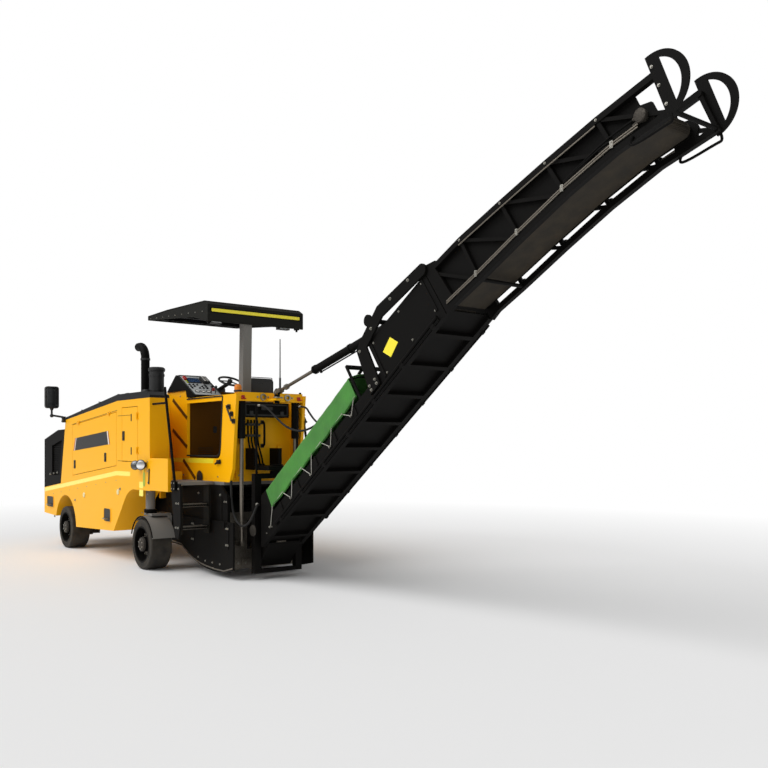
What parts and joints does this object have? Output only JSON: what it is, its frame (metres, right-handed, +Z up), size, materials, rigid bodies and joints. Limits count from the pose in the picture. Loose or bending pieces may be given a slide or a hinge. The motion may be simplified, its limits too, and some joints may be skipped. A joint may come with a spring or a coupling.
{
  "type": "wheeled cold planer milling machine",
  "caption": "Cold planer on solid tyres with an open operator station, canopy, milling drum and slewing, raising and folding rear discharge conveyor.",
  "frame": {"origin": "on the ground, midway between the front panel and the conveyor head, on the centre plane", "axes": "+X forward, +Y to the left of the driver, +Z up"},
  "size_m": [11.8077, 2.67, 4.3981],
  "materials": {
    "amber_paint": "gloss paint",
    "black_paint": "satin paint",
    "bronze_paint": "satin paint",
    "grey_steel": "satin paint",
    "cast_iron": "as cast",
    "tyre_rubber": "moulded",
    "belt_rubber": "moulded",
    "cover_cloth": "coated cloth",
    "black_plastic": "moulded",
    "hose_rubber": "extruded"
  },
  "bodies": {
    "chassis": {"lower_body": "amber_paint", "rear_fenders": "amber_paint", "main_frame": "black_paint", "engine_block": "cast_iron", "front_axle": "cast_iron", "rear_legs": "grey_steel", "hood_shell": "amber_paint", "hood_top": "black_paint", "radiator_surround": "black_paint", "radiator_grilles": "black_paint", "exhaust_stack": "black_paint", "air_cleaner": "black_plastic", "mirrors": "black_plastic", "station_side_walls": "amber_paint", "station_floor": "grey_steel", "station_rear_wall": "amber_paint", "cabinet": "bronze_paint", "console": "black_paint", "steering_wheel": "black_plastic", "operator_seat": "black_plastic", "rear_crossbeam": "amber_paint", "lift_barrels": "black_paint", "slew_bracket": "black_paint", "rear_locker": "black_paint", "canopy_roof": "black_paint", "canopy_post": "grey_steel", "ladders": "grey_steel", "handrails": "black_paint", "drum_housing": "black_paint"},
    "front_left_knuckle": {"front_left_knuckle": "cast_iron"},
    "front_right_knuckle": {"front_right_knuckle": "cast_iron"},
    "milling_drum": {"milling_drum": "cast_iron"},
    "scraper": {"scraper": "grey_steel"},
    "left_edge_plate": {"left_edge_plate": "black_paint"},
    "right_edge_plate": {"right_edge_plate": "black_paint"},
    "slew_frame": {"slew_frame": "black_paint", "left_hose": "hose_rubber", "right_hose": "hose_rubber"},
    "lower_conveyor": {"lower_conveyor_frame": "black_paint", "belt_cover": "cover_cloth", "lower_belt": "belt_rubber"},
    "upper_conveyor": {"upper_conveyor_frame": "black_paint", "upper_belt": "belt_rubber"},
    "stay_swivel": {"stay_swivel": "black_paint"},
    "stay_barrel": {"stay_barrel": "black_paint"},
    "stay_rod": {"stay_rod": "grey_steel"},
    "left_engine_door": {"left_engine_door": "amber_paint"},
    "right_engine_door": {"right_engine_door": "amber_paint"},
    "left_service_door": {"left_service_door": "amber_paint"},
    "right_service_door": {"right_service_door": "amber_paint"},
    "front_left_wheel": {"front_left_tyre": "tyre_rubber", "front_left_rim": "black_paint"},
    "front_right_wheel": {"front_right_tyre": "tyre_rubber", "front_right_rim": "black_paint"},
    "rear_left_wheel": {"rear_left_tyre": "tyre_rubber", "rear_left_rim": "black_paint"},
    "rear_right_wheel": {"rear_right_tyre": "tyre_rubber", "rear_right_rim": "black_paint"}
  },
  "joints": [
    {"name": "front_left_steer", "type": "hinge", "parent": "chassis", "child": "front_left_knuckle", "pos_m": [4.79385, 0.64, 0.33], "axis": [0, 0, 1], "range_deg": [-25, 25]},
    {"name": "front_right_steer", "type": "hinge", "parent": "chassis", "child": "front_right_knuckle", "pos_m": [4.79385, -0.64, 0.33], "axis": [0, 0, 1], "range_deg": [-25, 25]},
    {"name": "front_left_roll", "type": "hinge", "parent": "front_left_knuckle", "child": "front_left_wheel", "pos_m": [4.79385, 0.9075, 0.33], "axis": [0, 1, 0], "continuous": true},
    {"name": "front_right_roll", "type": "hinge", "parent": "front_right_knuckle", "child": "front_right_wheel", "pos_m": [4.79385, -0.9075, 0.33], "axis": [0, 1, 0], "continuous": true},
    {"name": "rear_left_roll", "type": "hinge", "parent": "chassis", "child": "rear_left_wheel", "pos_m": [1.71385, 0.9075, 0.33], "axis": [0, 1, 0], "continuous": true},
    {"name": "rear_right_roll", "type": "hinge", "parent": "chassis", "child": "rear_right_wheel", "pos_m": [1.71385, -0.9075, 0.33], "axis": [0, 1, 0], "continuous": true},
    {"name": "drum_spin", "type": "hinge", "parent": "chassis", "child": "milling_drum", "pos_m": [1.36385, 0, 0.565], "axis": [0, 1, 0], "continuous": true},
    {"name": "scraper_lift", "type": "slide", "parent": "chassis", "child": "scraper", "axis": [0, 0, 1], "range_m": [-0.05, 0.25]},
    {"name": "left_edge_lift", "type": "slide", "parent": "chassis", "child": "left_edge_plate", "axis": [0, 0, 1], "range_m": [-0.06, 0.2]},
    {"name": "right_edge_lift", "type": "slide", "parent": "chassis", "child": "right_edge_plate", "axis": [0, 0, 1], "range_m": [-0.06, 0.2]},
    {"name": "conveyor_slew", "type": "hinge", "parent": "chassis", "child": "slew_frame", "pos_m": [0.01385, 0, 1.3], "axis": [0, 0, 1], "range_deg": [-25, 25]},
    {"name": "conveyor_raise", "type": "hinge", "parent": "slew_frame", "child": "lower_conveyor", "pos_m": [0.01385, 0, 0.6], "axis": [0, 1, 0], "range_deg": [-12, 4], "deforming": ["left_hose", "right_hose"]},
    {"name": "conveyor_fold", "type": "hinge", "parent": "lower_conveyor", "child": "upper_conveyor", "pos_m": [-3.1191, 0, 3.26583], "axis": [0, 1, 0], "range_deg": [0, 130]},
    {"name": "stay_turn", "type": "hinge", "parent": "chassis", "child": "stay_swivel", "pos_m": [0.01385, 0, 2.2], "axis": [0, 0, 1], "range_deg": [-26, 26]},
    {"name": "stay_tilt", "type": "hinge", "parent": "lower_conveyor", "child": "stay_barrel", "pos_m": [-2.28615, 0, 2.89], "axis": [0, 1, 0], "range_deg": [-2, 2]},
    {"name": "stay_extend", "type": "slide", "parent": "stay_barrel", "child": "stay_rod", "axis": [0.9676, 0, -0.2524], "range_m": [-0.13, 0.37]},
    {"name": "left_engine_door_swing", "type": "hinge", "parent": "chassis", "child": "left_engine_door", "pos_m": [3.53418, 1.062, 2.02899], "axis": [0.9967, 0, -0.0813], "range_deg": [0, 75]},
    {"name": "right_engine_door_swing", "type": "hinge", "parent": "chassis", "child": "right_engine_door", "pos_m": [3.53418, -1.062, 2.02899], "axis": [-0.9967, 0, 0.0813], "range_deg": [0, 75]},
    {"name": "left_service_door_swing", "type": "hinge", "parent": "chassis", "child": "left_service_door", "pos_m": [1.84985, 1.062, 1.785], "axis": [0, 0, 1], "range_deg": [0, 100]},
    {"name": "right_service_door_swing", "type": "hinge", "parent": "chassis", "child": "right_service_door", "pos_m": [1.84985, -1.062, 1.785], "axis": [0, 0, -1], "range_deg": [0, 100]}
  ],
  "couplings": [
    {"joint": "front_right_steer", "follows": "front_left_steer", "ratio": 1},
    {"joint": "stay_turn", "follows": "conveyor_slew", "ratio": 1},
    {"joint": "stay_tilt", "follows": "conveyor_raise", "ratio": 0.12},
    {"joint": "stay_extend", "follows": "conveyor_raise", "m_per_rad": -1.67}
  ]
}
